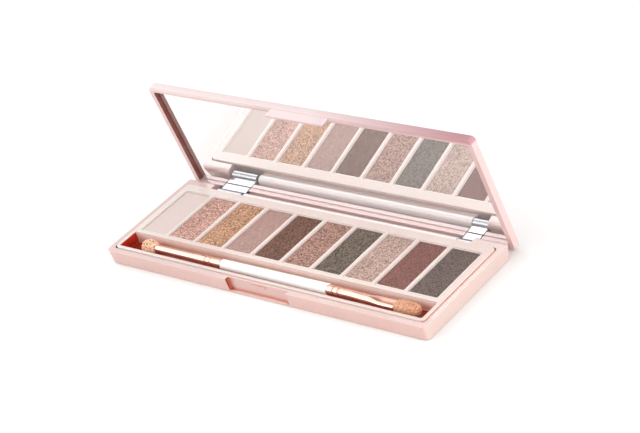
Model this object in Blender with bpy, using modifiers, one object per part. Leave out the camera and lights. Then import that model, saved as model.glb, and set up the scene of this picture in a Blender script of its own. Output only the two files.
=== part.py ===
"""Ten-shade eyeshadow palette: a slim hinged compact with a mirror lid and a double-ended applicator.

Metres, +Z up. The origin is the centre of the case's underside, X runs along the row of pans and
-Y is the front edge with the latch. The lid is modelled closed, flat on the case, and an empty on
the hinge axis turns it open. Sizes are written in millimetres and scaled by MM.
"""
import math

import bmesh
import bpy
from mathutils import Matrix, Vector

MM = 0.001

# ---- driving dimensions, millimetres and degrees -------------------------------------------
CASE_WIDTH = 165.0
CASE_DEPTH = 54.0
CASE_HEIGHT = 6.6
CASE_FLOOR = 1.0
CASE_DRAFT = 0.6
CORNER_RADIUS = 2.2
EDGE_ROUND = 0.5
REAR_ROUND = 2.3
RIM_WIDTH = 2.3
GROOVE = 0.4
CAVITY_CORNER = 1.6

DECK_TOP = 7.2
DECK_THICKNESS = 1.2
DECK_REAR = 21.9
DECK_CORNER = 1.8
DECK_EDGE_ROUND = 0.3
TRAY_BOTTOM = 1.3
TRAY_WALL = 0.8
TUB_CORNER = 1.2

PAN_COUNT = 10
PAN_PITCH = 15.5
PAN_WIDTH = 13.8
PAN_LENGTH = 28.4
PAN_CENTRE_Y = 3.2
PAN_SHEET = 0.25
PAN_BOTTOM = 2.4
PAN_TOP = 7.0
PAN_CORNER = 0.8
WELL_GAP = 0.25
WELL_FLOOR = 2.1
CAKE_GAP = 0.1
CAKE_TOP = 6.95

TROUGH_HALF_LENGTH = 78.5
TROUGH_FRONT = -22.9
TROUGH_REAR = -13.1
TROUGH_FLOOR = 2.0
TROUGH_CORNER = 0.9
TROUGH_FLOOR_ROUND = 0.6

NOTCH_HALF_WIDTH = 15.6
NOTCH_DEPTH = 1.9
NOTCH_FLOOR = 1.1
NUB_SIZE = (7.0, 0.3, 0.8)
NUB_HEIGHT = 5.2
TONGUE_HALF_WIDTH = 14.6
TONGUE_THICKNESS = 1.0
TONGUE_SETBACK = 0.4
TONGUE_DROP = 4.0
TONGUE_CORNER = 0.35

LID_THICKNESS = 3.8
LID_SEAT_GAP = 0.2
LID_TOP_ROUND = 1.2
LID_RIM = 2.2
LID_REAR_RIM = 3.1
LID_OPEN_ANGLE = 81.8
LID_OPENING_CORNER = 1.0
MIRROR_RECESS = 2.0
MIRROR_THICKNESS = 0.7
MIRROR_GAP = 0.3
MIRROR_CORNER = 0.7
TAPE_THICKNESS = 0.2
TAPE_MARGIN = 4.0
STACK_GAP = 0.1

HINGE_Y = 24.6
HINGE_Z = 2.9
BARREL_RADIUS = 2.3
BARREL_SPAN = (-51.2, 59.2)
RECESS_HALF_WIDTH = 67.5
RECESS_FRONT = 21.7
REAR_WALL = 1.5
REAR_WALL_TOP = 5.7
RECESS_FLOOR = 1.2
WEB_TOP = 4.1
KNUCKLE_SPANS = {"left": (-66.4, -52.6), "right": (59.6, 67.1)}
LEAF_THICKNESS = 1.2
LEAF_FORWARD = 0.7
LEAF_TOP = 9.2
LEAF_GAP = 0.3
LEAF_END_INSET = 0.1
PIN_RADIUS = 0.6
PIN_BORE_RADIUS = 0.9
PIN_SPANS = {"left": (-72.0, -45.0), "right": (53.0, 73.0)}
PIN_END_GAP = 0.3

APPLICATOR_Y = -18.0
APPLICATOR_Z = 5.4
HANDLE_SPAN = (-25.2, 29.8)
HANDLE_RADII = (2.15, 2.4)
HANDLE_EDGE_ROUND = 0.35
SPIGOT_LENGTH = 6.0
SPIGOT_RADIUS = 1.0
FERRULE_SHEET = 0.3
FERRULE_LEFT_END = -61.8
FERRULE_LEFT_RADII = (1.7, 1.95)
FERRULE_LEFT_RINGS = (8.0, 5.4)
FERRULE_LEFT_WAIST = (14.0, 1.8)
FERRULE_MOUTH_ROUND = 0.15
FERRULE_RIGHT_END = 62.7
FERRULE_RIGHT_RADIUS = 2.1
FERRULE_RIGHT_RINGS = (3.2, 5.8)
# Distance from the handle, half width and half height, where the tube is pressed flat.
FERRULE_RIGHT_SECTIONS = ((12.0, 1.98, 1.94), (17.0, 2.0, 1.7), (25.0, 2.3, 1.4), (31.2, 2.5, 1.35))
CRIMP_DEPTH = 0.16
CRIMP_HALF_WIDTH = 0.55
JOINT_GAP = 0.2
BALL_CENTRE_X = -65.6
BALL_HALF_LENGTH = 4.1
BALL_RADIUS = 3.25
TIP_END = 73.5
TIP_HALF_SIZE = (2.9, 2.7)
# Shares of the tip's length and half sizes: its shoulder, where its round end starts, and its end face.
TIP_SHOULDER = (0.12, 0.86, 0.80)
TIP_ROUND_FROM = 0.6
TIP_BLUNTNESS = 0.7
TIP_END_SHARE = 0.05
STEM_RADIUS = 0.45
STEM_GAP = 0.25
STEM_SPANS = {"left": (-66.5, -58.0), "right": (56.5, 68.5)}

OVERLAP = 0.5
OVERSHOOT = 5.0
FINE_SEGMENTS = 32
BARREL_SEGMENTS = 40

FRONT = -CASE_DEPTH / 2
REAR = CASE_DEPTH / 2
HALF_WIDTH = CASE_WIDTH / 2
OPENING_HALF_WIDTH = HALF_WIDTH - RIM_WIDTH + 0.1
OPENING_FRONT = FRONT + 2.6
DECK_HALF_WIDTH = OPENING_HALF_WIDTH - GROOVE
DECK_FRONT = OPENING_FRONT + GROOVE
LID_BOTTOM = CASE_HEIGHT + LID_SEAT_GAP
LID_TOP = LID_BOTTOM + LID_THICKNESS
LID_OPENING = (HALF_WIDTH - LID_RIM, FRONT + LID_RIM + 0.2, REAR - LID_REAR_RIM)
MIRROR_FACE = LID_BOTTOM + MIRROR_RECESS
TAPE_BOTTOM = MIRROR_FACE + MIRROR_THICKNESS + STACK_GAP
LID_CEILING = TAPE_BOTTOM + TAPE_THICKNESS + STACK_GAP

SHADES = (
    ("powder_01", (0.86, 0.76, 0.72), 0.75),
    ("powder_02", (0.66, 0.46, 0.42), 0.45),
    ("powder_03", (0.74, 0.54, 0.34), 0.40),
    ("powder_04", (0.58, 0.44, 0.42), 0.80),
    ("powder_05", (0.22, 0.13, 0.11), 0.60),
    ("powder_06", (0.44, 0.28, 0.24), 0.45),
    ("powder_07", (0.24, 0.22, 0.17), 0.45),
    ("powder_08", (0.56, 0.43, 0.37), 0.40),
    ("powder_09", (0.26, 0.12, 0.11), 0.80),
    ("powder_10", (0.18, 0.15, 0.14), 0.55),
)


# ---- scene and helpers ------------------------------------------------------------------------
def clear_scene():
    for old in list(bpy.data.objects):
        bpy.data.objects.remove(old, do_unlink=True)


def new_collection(name):
    collection = bpy.data.collections.new(name)
    bpy.context.scene.collection.children.link(collection)
    return collection


def make_material(name, colour, roughness, metallic=0.0):
    material = bpy.data.materials.new(name)
    material.use_nodes = True
    shader = material.node_tree.nodes["Principled BSDF"]
    shader.inputs["Base Color"].default_value = (*colour, 1.0)
    shader.inputs["Roughness"].default_value = roughness
    shader.inputs["Metallic"].default_value = metallic
    return material


def make_object(name, bm, collection, material=None, parent=None):
    """Turn a bmesh in millimetres, in the closed palette's frame, into an object."""
    bmesh.ops.scale(bm, vec=Vector((MM, MM, MM)), verts=bm.verts)
    if parent is not None:
        bmesh.ops.translate(bm, vec=-Vector(parent.location), verts=bm.verts)
    bmesh.ops.recalc_face_normals(bm, faces=bm.faces)
    mesh = bpy.data.meshes.new(name)
    bm.to_mesh(mesh)
    bm.free()
    mesh.shade_smooth()
    mesh.set_sharp_from_angle(angle=math.radians(35))
    made = bpy.data.objects.new(name, mesh)
    collection.objects.link(made)
    if material is not None:
        mesh.materials.append(material)
    if parent is not None:
        made.parent = parent
    return made


def axis_empty(name, location, rotation_x=0.0):
    empty = bpy.data.objects.new(name, None)
    empty.location = [value * MM for value in location]
    empty.rotation_euler = (rotation_x, 0.0, 0.0)
    PARTS.objects.link(empty)
    return empty


def block(low, high, corner=0.0, top_round=0.0, bottom_round=0.0, draft=0.0, segments=5):
    """A box with rounded upright edges, rounded top or bottom rims, and a base that is drawn in."""
    bm = bmesh.new()
    bmesh.ops.create_cube(bm, size=1.0)
    for vert in bm.verts:
        at_top = vert.co.z > 0
        inset = 0.0 if at_top else draft
        vert.co.x = high[0] - inset if vert.co.x > 0 else low[0] + inset
        vert.co.y = high[1] - inset if vert.co.y > 0 else low[1] + inset
        vert.co.z = high[2] if at_top else low[2]
    if corner > 0:
        upright = [edge for edge in bm.edges if abs(edge.verts[0].co.z - edge.verts[1].co.z) > 1e-6]
        bmesh.ops.bevel(bm, geom=upright, offset=corner, segments=segments, profile=0.5, affect="EDGES")
    for level, width in ((high[2], top_round), (low[2], bottom_round)):
        if width > 0:
            rim = [edge for edge in bm.edges if all(abs(v.co.z - level) < 1e-6 for v in edge.verts)]
            bmesh.ops.bevel(bm, geom=rim, offset=width, segments=3, profile=0.5, affect="EDGES")
    return bm


def rod(start, end, radius, y, z, segments=FINE_SEGMENTS):
    """A closed cylinder along X."""
    bm = bmesh.new()
    turn = Matrix.Translation(((start + end) / 2, y, z)) @ Matrix.Rotation(math.pi / 2, 4, "Y")
    bmesh.ops.create_cone(bm, cap_ends=True, cap_tris=False, segments=segments, radius1=radius,
                          radius2=radius, depth=end - start, matrix=turn)
    return bm


def loft_along_x(stations, y, z, segments=FINE_SEGMENTS, closed_ring=False):
    """Elliptical sections (x, half width, half height) joined in order.

    With closed_ring the last section joins the first, which makes a tube from an outer and an
    inner run of sections. Otherwise both ends are capped.
    """
    bm = bmesh.new()
    rings = []
    for x, half_width, half_height in stations:
        angles = [2 * math.pi * step / segments for step in range(segments)]
        rings.append([bm.verts.new((x, y + half_width * math.cos(a), z + half_height * math.sin(a)))
                      for a in angles])
    pairs = list(zip(rings, rings[1:]))
    if closed_ring:
        pairs.append((rings[-1], rings[0]))
    for first, second in pairs:
        for index in range(segments):
            following = (index + 1) % segments
            bm.faces.new((first[index], first[following], second[following], second[index]))
    if not closed_ring:
        bm.faces.new(rings[0])
        bm.faces.new(list(reversed(rings[-1])))
    return bm


def turned(name, profile, y, z, material, parent):
    """A profile of (x, radius) points turned about the X axis with a Screw modifier."""
    bm = bmesh.new()
    verts = [bm.verts.new((x, radius, 0.0)) for x, radius in profile]
    for first, second in zip(verts, verts[1:]):
        bm.edges.new((first, second))
    if profile[0][1] > 0:
        bm.edges.new((verts[-1], verts[0]))
    bmesh.ops.scale(bm, vec=Vector((MM, MM, MM)), verts=bm.verts)
    mesh = bpy.data.meshes.new(name)
    bm.to_mesh(mesh)
    bm.free()
    made = bpy.data.objects.new(name, mesh)
    PARTS.objects.link(made)
    made.parent = parent
    made.location = Vector((0.0, y * MM, z * MM)) - Vector(parent.location)
    screw = made.modifiers.new("turn", "SCREW")
    screw.axis = "X"
    screw.steps = FINE_SEGMENTS
    screw.render_steps = FINE_SEGMENTS
    screw.use_merge_vertices = True
    screw.merge_threshold = 0.00001
    screw.use_normal_calculate = True
    mesh.materials.append(material)
    return made


def boolean(target, tool_bm, operation, name, parent=None):
    """Cut a tool shape from the target, or join it on."""
    tool = make_object(name, tool_bm, CUTTERS, parent=parent)
    tool.hide_render = True
    tool.display_type = "WIRE"
    modifier = target.modifiers.new(name, "BOOLEAN")
    modifier.operation = operation
    modifier.solver = "EXACT"
    modifier.object = tool


def pan_centre_x(index):
    return (index - (PAN_COUNT - 1) / 2) * PAN_PITCH


# ---- case ---------------------------------------------------------------------------------------
def build_case(material):
    bm = block((-HALF_WIDTH, FRONT, 0.0), (HALF_WIDTH, REAR, CASE_HEIGHT), corner=CORNER_RADIUS,
               bottom_round=EDGE_ROUND, draft=CASE_DRAFT)
    case = make_object("base_case", bm, PARTS, material)

    boolean(case, rear_rounding_tool(), "DIFFERENCE", "cut_rear_rounding")
    cavity = block((-OPENING_HALF_WIDTH, OPENING_FRONT, CASE_FLOOR),
                   (OPENING_HALF_WIDTH, RECESS_FRONT - REAR_WALL, CASE_HEIGHT + OVERSHOOT),
                   corner=CAVITY_CORNER)
    boolean(case, cavity, "DIFFERENCE", "cut_tray_cavity")
    seat = block((-OPENING_HALF_WIDTH, 0.0, REAR_WALL_TOP),
                 (OPENING_HALF_WIDTH, DECK_REAR + GROOVE, CASE_HEIGHT + OVERSHOOT), corner=CAVITY_CORNER)
    boolean(case, seat, "DIFFERENCE", "cut_flange_seat")
    recess = block((-RECESS_HALF_WIDTH, RECESS_FRONT, RECESS_FLOOR),
                   (RECESS_HALF_WIDTH, REAR + OVERSHOOT, CASE_HEIGHT + OVERSHOOT))
    boolean(case, recess, "DIFFERENCE", "cut_hinge_recess")
    windows = {"left": (-RECESS_HALF_WIDTH, BARREL_SPAN[0]), "right": (BARREL_SPAN[1], RECESS_HALF_WIDTH)}
    for side, (start, end) in windows.items():
        window = block((start, RECESS_FRONT, -OVERSHOOT),
                       (end, REAR + OVERSHOOT, CASE_HEIGHT + OVERSHOOT))
        boolean(case, window, "DIFFERENCE", "cut_knuckle_window_" + side)
    barrel = rod(BARREL_SPAN[0], BARREL_SPAN[1], BARREL_RADIUS, HINGE_Y, HINGE_Z, BARREL_SEGMENTS)
    boolean(case, barrel, "UNION", "join_barrel")
    web = block((BARREL_SPAN[0], RECESS_FRONT - OVERLAP, CASE_FLOOR / 2),
                (BARREL_SPAN[1], HINGE_Y, WEB_TOP))
    boolean(case, web, "UNION", "join_barrel_web")
    for side, (start, end) in PIN_SPANS.items():
        bore = rod(start - PIN_END_GAP, end + PIN_END_GAP, PIN_BORE_RADIUS, HINGE_Y, HINGE_Z)
        boolean(case, bore, "DIFFERENCE", "cut_pin_bore_" + side)
    notch = block((-NOTCH_HALF_WIDTH, FRONT - OVERSHOOT, NOTCH_FLOOR),
                  (NOTCH_HALF_WIDTH, FRONT + NOTCH_DEPTH, CASE_HEIGHT + OVERSHOOT))
    boolean(case, notch, "DIFFERENCE", "cut_latch_notch")
    nub_width, nub_depth, nub_height = NUB_SIZE
    nub = block((-nub_width / 2, FRONT + NOTCH_DEPTH - nub_depth, NUB_HEIGHT - nub_height / 2),
                (nub_width / 2, FRONT + NOTCH_DEPTH + OVERLAP, NUB_HEIGHT + nub_height / 2))
    boolean(case, nub, "UNION", "join_catch_nub")


def rear_rounding_tool():
    """The space that the lid's rear rim sweeps: all that lies outside a quarter round at the top."""
    bm = bmesh.new()
    centre_y = REAR - REAR_ROUND
    centre_z = CASE_HEIGHT - REAR_ROUND
    steps = 8
    outline = [(centre_y, CASE_HEIGHT + OVERSHOOT), (centre_y, CASE_HEIGHT)]
    for step in range(1, steps):
        angle = math.pi / 2 * (1 - step / steps)
        outline.append((centre_y + REAR_ROUND * math.cos(angle), centre_z + REAR_ROUND * math.sin(angle)))
    outline += [(REAR, centre_z), (REAR + OVERSHOOT, centre_z), (REAR + OVERSHOOT, CASE_HEIGHT + OVERSHOOT)]
    end = HALF_WIDTH + OVERSHOOT
    face = bm.faces.new([bm.verts.new((-end, y, z)) for y, z in outline])
    extruded = bmesh.ops.extrude_face_region(bm, geom=[face])
    moved = [item for item in extruded["geom"] if isinstance(item, bmesh.types.BMVert)]
    bmesh.ops.translate(bm, vec=Vector((2 * end, 0, 0)), verts=moved)
    return bm


# ---- tray ---------------------------------------------------------------------------------------
def build_tray(material):
    bm = block((-DECK_HALF_WIDTH, DECK_FRONT, DECK_TOP - DECK_THICKNESS),
               (DECK_HALF_WIDTH, DECK_REAR, DECK_TOP), corner=DECK_CORNER, top_round=DECK_EDGE_ROUND)
    tray = make_object("inner_tray", bm, PARTS, material)
    wells_rear = PAN_CENTRE_Y + PAN_LENGTH / 2 + WELL_GAP + TRAY_WALL
    tub = block((-TROUGH_HALF_LENGTH - TRAY_WALL, TROUGH_FRONT - TRAY_WALL, TRAY_BOTTOM),
                (TROUGH_HALF_LENGTH + TRAY_WALL, wells_rear, DECK_TOP - DECK_THICKNESS / 2),
                corner=TUB_CORNER)
    boolean(tray, tub, "UNION", "join_tub")
    for index in range(PAN_COUNT):
        centre = pan_centre_x(index)
        half_width = PAN_WIDTH / 2 + WELL_GAP
        half_length = PAN_LENGTH / 2 + WELL_GAP
        well = block((centre - half_width, PAN_CENTRE_Y - half_length, WELL_FLOOR),
                     (centre + half_width, PAN_CENTRE_Y + half_length, DECK_TOP + OVERSHOOT),
                     corner=PAN_CORNER + WELL_GAP)
        boolean(tray, well, "DIFFERENCE", "cut_well_%02d" % (index + 1))
    trough = block((-TROUGH_HALF_LENGTH, TROUGH_FRONT, TROUGH_FLOOR),
                   (TROUGH_HALF_LENGTH, TROUGH_REAR, DECK_TOP + OVERSHOOT), corner=TROUGH_CORNER,
                   bottom_round=TROUGH_FLOOR_ROUND)
    boolean(tray, trough, "DIFFERENCE", "cut_trough")


# ---- pans and powder ------------------------------------------------------------------------------
def build_pan(index, material):
    centre = pan_centre_x(index)
    half_width = PAN_WIDTH / 2
    half_length = PAN_LENGTH / 2
    bm = block((centre - half_width, PAN_CENTRE_Y - half_length, PAN_BOTTOM),
               (centre + half_width, PAN_CENTRE_Y + half_length, PAN_TOP), corner=PAN_CORNER)
    number = "%02d" % (index + 1)
    pan = make_object("pan_" + number, bm, PARTS, material)
    inner = block((centre - half_width + PAN_SHEET, PAN_CENTRE_Y - half_length + PAN_SHEET,
                   PAN_BOTTOM + PAN_SHEET),
                  (centre + half_width - PAN_SHEET, PAN_CENTRE_Y + half_length - PAN_SHEET,
                   PAN_TOP + OVERSHOOT),
                  corner=PAN_CORNER - PAN_SHEET)
    boolean(pan, inner, "DIFFERENCE", "cut_pan_inside_" + number)


def build_cake(index, material):
    centre = pan_centre_x(index)
    inset = PAN_SHEET + CAKE_GAP
    half_width = PAN_WIDTH / 2 - inset
    half_length = PAN_LENGTH / 2 - inset
    bm = block((centre - half_width, PAN_CENTRE_Y - half_length, PAN_BOTTOM + inset),
               (centre + half_width, PAN_CENTRE_Y + half_length, CAKE_TOP), corner=PAN_CORNER - inset)
    make_object(SHADES[index][0], bm, PARTS, material)


# ---- lid ----------------------------------------------------------------------------------------
def build_lid(material, hinge):
    bm = block((-HALF_WIDTH, FRONT, LID_BOTTOM), (HALF_WIDTH, REAR, LID_TOP), corner=CORNER_RADIUS,
               top_round=LID_TOP_ROUND)
    lid = make_object("lid_shell", bm, PARTS, material, parent=hinge)
    opening_half, opening_front, opening_rear = LID_OPENING
    recess = block((-opening_half, opening_front, LID_BOTTOM - OVERSHOOT),
                   (opening_half, opening_rear, LID_CEILING), corner=LID_OPENING_CORNER)
    boolean(lid, recess, "DIFFERENCE", "cut_mirror_recess", hinge)
    tongue_front = FRONT + TONGUE_SETBACK
    tongue = block((-TONGUE_HALF_WIDTH, tongue_front, LID_BOTTOM - TONGUE_DROP),
                   (TONGUE_HALF_WIDTH, tongue_front + TONGUE_THICKNESS, LID_BOTTOM + OVERLAP),
                   corner=TONGUE_CORNER, segments=3)
    boolean(lid, tongue, "UNION", "join_latch_tongue", hinge)
    for side, (start, end) in KNUCKLE_SPANS.items():
        leaf_rear = HINGE_Y - LEAF_FORWARD + LEAF_THICKNESS
        pocket = block((start - LEAF_GAP, opening_rear - OVERLAP, LID_BOTTOM - OVERSHOOT),
                       (end + LEAF_GAP, leaf_rear + LEAF_GAP, LEAF_TOP + LEAF_GAP))
        boolean(lid, pocket, "DIFFERENCE", "cut_leaf_pocket_" + side, hinge)


def build_mirror(material, hinge):
    opening_half, opening_front, opening_rear = LID_OPENING
    bm = block((-opening_half + MIRROR_GAP, opening_front + MIRROR_GAP, MIRROR_FACE),
               (opening_half - MIRROR_GAP, opening_rear - MIRROR_GAP, MIRROR_FACE + MIRROR_THICKNESS),
               corner=MIRROR_CORNER)
    make_object("mirror", bm, PARTS, material, parent=hinge)


def build_tape(material, hinge):
    opening_half, opening_front, opening_rear = LID_OPENING
    bm = block((-opening_half + TAPE_MARGIN, opening_front + TAPE_MARGIN, TAPE_BOTTOM),
               (opening_half - TAPE_MARGIN, opening_rear - TAPE_MARGIN, TAPE_BOTTOM + TAPE_THICKNESS))
    make_object("mirror_tape", bm, PARTS, material, parent=hinge)


# ---- hinge metal ----------------------------------------------------------------------------------
def build_knuckle(side, material, hinge):
    start, end = KNUCKLE_SPANS[side]
    name = "hinge_knuckle_" + side
    barrel = rod(start, end, BARREL_RADIUS, HINGE_Y, HINGE_Z, BARREL_SEGMENTS)
    knuckle = make_object(name, barrel, PARTS, material, parent=hinge)
    leaf = block((start + LEAF_END_INSET, HINGE_Y - LEAF_FORWARD, HINGE_Z),
                 (end - LEAF_END_INSET, HINGE_Y - LEAF_FORWARD + LEAF_THICKNESS, LEAF_TOP))
    boolean(knuckle, leaf, "UNION", "join_leaf_" + side, hinge)
    bore = rod(start - OVERLAP, end + OVERLAP, PIN_BORE_RADIUS, HINGE_Y, HINGE_Z)
    boolean(knuckle, bore, "DIFFERENCE", "cut_knuckle_bore_" + side, hinge)


def build_pin(side, material):
    start, end = PIN_SPANS[side]
    make_object("hinge_pin_" + side, rod(start, end, PIN_RADIUS, HINGE_Y, HINGE_Z), PARTS, material)


# ---- applicator ---------------------------------------------------------------------------------
def build_handle(material, lift):
    start, end = HANDLE_SPAN
    start_radius, end_radius = HANDLE_RADII
    edge = HANDLE_EDGE_ROUND
    profile = [(start - SPIGOT_LENGTH, 0.0), (start - SPIGOT_LENGTH, SPIGOT_RADIUS),
               (start, SPIGOT_RADIUS), (start, start_radius - edge),
               (start + 0.3 * edge, start_radius - 0.3 * edge), (start + edge, start_radius),
               (end - edge, end_radius), (end - 0.3 * edge, end_radius - 0.3 * edge),
               (end, end_radius - edge), (end, SPIGOT_RADIUS),
               (end + SPIGOT_LENGTH, SPIGOT_RADIUS), (end + SPIGOT_LENGTH, 0.0)]
    turned("applicator_handle", profile, APPLICATOR_Y, APPLICATOR_Z, material, lift)


def crimp(x, radius):
    """Four profile points of one rolled ring around a ferrule."""
    bottom = radius - CRIMP_DEPTH
    reach = CRIMP_HALF_WIDTH
    return [(x - reach, radius), (x - reach / 3, bottom), (x + reach / 3, bottom), (x + reach, radius)]


def build_left_ferrule(material, lift):
    end_x = HANDLE_SPAN[0] - JOINT_GAP
    thin, thick = FERRULE_LEFT_RADII
    waist_distance, waist_radius = FERRULE_LEFT_WAIST
    mouth = thin - FERRULE_MOUTH_ROUND
    waist_x = end_x - waist_distance
    outer = [(FERRULE_LEFT_END, mouth), (FERRULE_LEFT_END + 2 * FERRULE_MOUTH_ROUND, thin)]
    outer.append((waist_x, waist_radius))
    for distance in FERRULE_LEFT_RINGS:
        outer += crimp(end_x - distance, thick)
    outer.append((end_x, thick))
    inner = [(end_x, thick - FERRULE_SHEET), (waist_x, waist_radius - FERRULE_SHEET),
             (FERRULE_LEFT_END, mouth - FERRULE_SHEET / 2)]
    turned("applicator_ferrule_left", outer + inner, APPLICATOR_Y, APPLICATOR_Z, material, lift)


def build_right_ferrule(material, lift):
    """A round tube at the handle that is pressed flat where it grips the sponge."""
    start_x = HANDLE_SPAN[1] + JOINT_GAP
    radius = FERRULE_RIGHT_RADIUS
    sheet = FERRULE_SHEET
    outer = [(start_x, radius, radius)]
    for distance in FERRULE_RIGHT_RINGS:
        outer += [(x, r, r) for x, r in crimp(start_x + distance, radius)]
    pressed = [(start_x + distance, width, height) for distance, width, height in FERRULE_RIGHT_SECTIONS]
    last_width, last_height = pressed[-1][1:]
    pressed.append((FERRULE_RIGHT_END, last_width, last_height))
    inner = [(x, width - sheet, height - sheet) for x, width, height in reversed(pressed)]
    under_rings = radius - CRIMP_DEPTH - sheet
    inner.append((start_x + FERRULE_RIGHT_RINGS[-1] + 2 * CRIMP_HALF_WIDTH, under_rings, under_rings))
    inner.append((start_x, radius - sheet, radius - sheet))
    bm = loft_along_x(outer + pressed + inner, APPLICATOR_Y, APPLICATOR_Z, closed_ring=True)
    make_object("applicator_ferrule_right", bm, PARTS, material, parent=lift)


def build_ball(material, lift):
    """A sponge ball, flattened where it meets the ferrule, with a blind bore for its stem."""
    cut_x = FERRULE_LEFT_END - JOINT_GAP
    opening = math.acos((cut_x - BALL_CENTRE_X) / BALL_HALF_LENGTH)
    steps = 14
    profile = []
    for step in range(steps + 1):
        angle = math.pi - (math.pi - opening) * step / steps
        profile.append((BALL_CENTRE_X + BALL_HALF_LENGTH * math.cos(angle), BALL_RADIUS * math.sin(angle)))
    profile[0] = (BALL_CENTRE_X - BALL_HALF_LENGTH, 0.0)
    bore_radius = STEM_RADIUS + STEM_GAP
    bore_end = STEM_SPANS["left"][0] - STEM_GAP
    profile += [(cut_x, bore_radius), (bore_end, bore_radius), (bore_end, 0.0)]
    turned("applicator_ball", profile, APPLICATOR_Y, APPLICATOR_Z, material, lift)


def build_tip(material, lift):
    """A flattened sponge with a rounded end, sleeved over the ferrule's stem."""
    start = FERRULE_RIGHT_END + JOINT_GAP
    length = TIP_END - start
    half_width, half_height = TIP_HALF_SIZE
    shoulder, neck_width, neck_height = TIP_SHOULDER
    outer = [(start, neck_width * half_width, neck_height * half_height)]
    outer.append((start + shoulder * length, half_width, half_height))
    steps = 9
    for step in range(steps):
        along = step / steps
        angle = along * math.pi / 2
        x = start + length * (TIP_ROUND_FROM + (1 - TIP_ROUND_FROM) * math.sin(angle))
        narrowing = math.cos(angle) ** TIP_BLUNTNESS
        outer.append((x, half_width * narrowing, half_height * narrowing))
    outer.append((TIP_END, TIP_END_SHARE * half_width, TIP_END_SHARE * half_height))
    bm = loft_along_x(outer, APPLICATOR_Y, APPLICATOR_Z)
    tip = make_object("applicator_tip", bm, PARTS, material, parent=lift)
    bore_end = STEM_SPANS["right"][1] + STEM_GAP
    bore = rod(start - OVERLAP, bore_end, STEM_RADIUS + STEM_GAP, APPLICATOR_Y, APPLICATOR_Z, segments=16)
    boolean(tip, bore, "DIFFERENCE", "cut_tip_bore", lift)


def build_stem(side, material, lift):
    start, end = STEM_SPANS[side]
    bm = rod(start, end, STEM_RADIUS, APPLICATOR_Y, APPLICATOR_Z, segments=12)
    make_object("applicator_stem_" + side, bm, PARTS, material, parent=lift)


# ---- assembly -----------------------------------------------------------------------------------
clear_scene()
PARTS = new_collection("eyeshadow_palette")
CUTTERS = new_collection("cutters")

build_case(make_material("case_plastic", (0.90, 0.70, 0.66), 0.30))
build_tray(make_material("tray_plastic", (0.92, 0.76, 0.72), 0.30))
pan_metal = make_material("pan_metal", (0.75, 0.74, 0.73), 0.35, 1.0)
for pan_index, (shade_name, shade_colour, shade_roughness) in enumerate(SHADES):
    build_pan(pan_index, pan_metal)
    build_cake(pan_index, make_material(shade_name, shade_colour, shade_roughness))

hinge_axis = axis_empty("lid_hinge_axis", (0.0, HINGE_Y, HINGE_Z))
build_lid(make_material("lid_plastic", (0.90, 0.70, 0.66), 0.25), hinge_axis)
build_mirror(make_material("mirror_glass", (0.93, 0.94, 0.95), 0.02, 1.0), hinge_axis)
build_tape(make_material("tape", (0.85, 0.85, 0.83), 0.80), hinge_axis)
chrome = make_material("hinge_chrome", (0.62, 0.62, 0.64), 0.12, 1.0)
steel = make_material("pin_steel", (0.55, 0.55, 0.56), 0.30, 1.0)
for hinge_side in ("left", "right"):
    build_knuckle(hinge_side, chrome, hinge_axis)
    build_pin(hinge_side, steel)
hinge_axis.rotation_euler = (-math.radians(LID_OPEN_ANGLE), 0.0, 0.0)

lift_axis = axis_empty("applicator_axis", (0.0, APPLICATOR_Y, APPLICATOR_Z))
rose_gold = make_material("rose_gold", (0.86, 0.50, 0.38), 0.22, 1.0)
sponge = make_material("sponge", (0.82, 0.50, 0.32), 0.95)
stem_plastic = make_material("stem_plastic", (0.88, 0.86, 0.84), 0.50)
build_handle(make_material("handle_plastic", (0.93, 0.93, 0.93), 0.18), lift_axis)
build_left_ferrule(rose_gold, lift_axis)
build_right_ferrule(rose_gold, lift_axis)
build_ball(sponge, lift_axis)
build_tip(sponge, lift_axis)
for stem_side in ("left", "right"):
    build_stem(stem_side, stem_plastic, lift_axis)
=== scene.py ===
"""Looks for the eyeshadow palette: pressed powders, blush mouldings, a mirror lid and an applicator.

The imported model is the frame, and every place comes from its node boxes. Lengths are written in
millimetres and scaled by MM. Colours are linear.
"""
import math

import bmesh
import bpy
from mathutils import Matrix, Vector, noise


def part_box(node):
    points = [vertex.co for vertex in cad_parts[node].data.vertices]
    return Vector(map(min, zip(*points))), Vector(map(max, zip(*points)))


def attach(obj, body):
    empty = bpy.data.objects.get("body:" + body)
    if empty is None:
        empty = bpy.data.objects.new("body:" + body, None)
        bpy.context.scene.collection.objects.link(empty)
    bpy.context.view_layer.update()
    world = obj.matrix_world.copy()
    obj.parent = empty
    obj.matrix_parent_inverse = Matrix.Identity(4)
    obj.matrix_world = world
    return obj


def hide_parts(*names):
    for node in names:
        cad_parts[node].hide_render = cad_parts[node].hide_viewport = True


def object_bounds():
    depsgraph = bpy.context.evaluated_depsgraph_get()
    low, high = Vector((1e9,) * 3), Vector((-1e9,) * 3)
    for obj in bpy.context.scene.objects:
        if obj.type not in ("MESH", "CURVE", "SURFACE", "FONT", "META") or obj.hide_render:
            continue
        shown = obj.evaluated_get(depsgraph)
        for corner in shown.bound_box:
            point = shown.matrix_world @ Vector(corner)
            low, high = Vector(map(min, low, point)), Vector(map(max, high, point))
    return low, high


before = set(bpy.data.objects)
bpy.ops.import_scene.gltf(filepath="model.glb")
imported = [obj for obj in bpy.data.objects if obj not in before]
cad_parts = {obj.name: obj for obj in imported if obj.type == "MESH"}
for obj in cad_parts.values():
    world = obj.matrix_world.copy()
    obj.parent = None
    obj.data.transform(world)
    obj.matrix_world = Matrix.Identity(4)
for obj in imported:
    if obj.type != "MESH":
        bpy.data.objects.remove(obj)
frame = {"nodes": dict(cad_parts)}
cad_low, cad_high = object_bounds()

MM = 0.001

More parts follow.
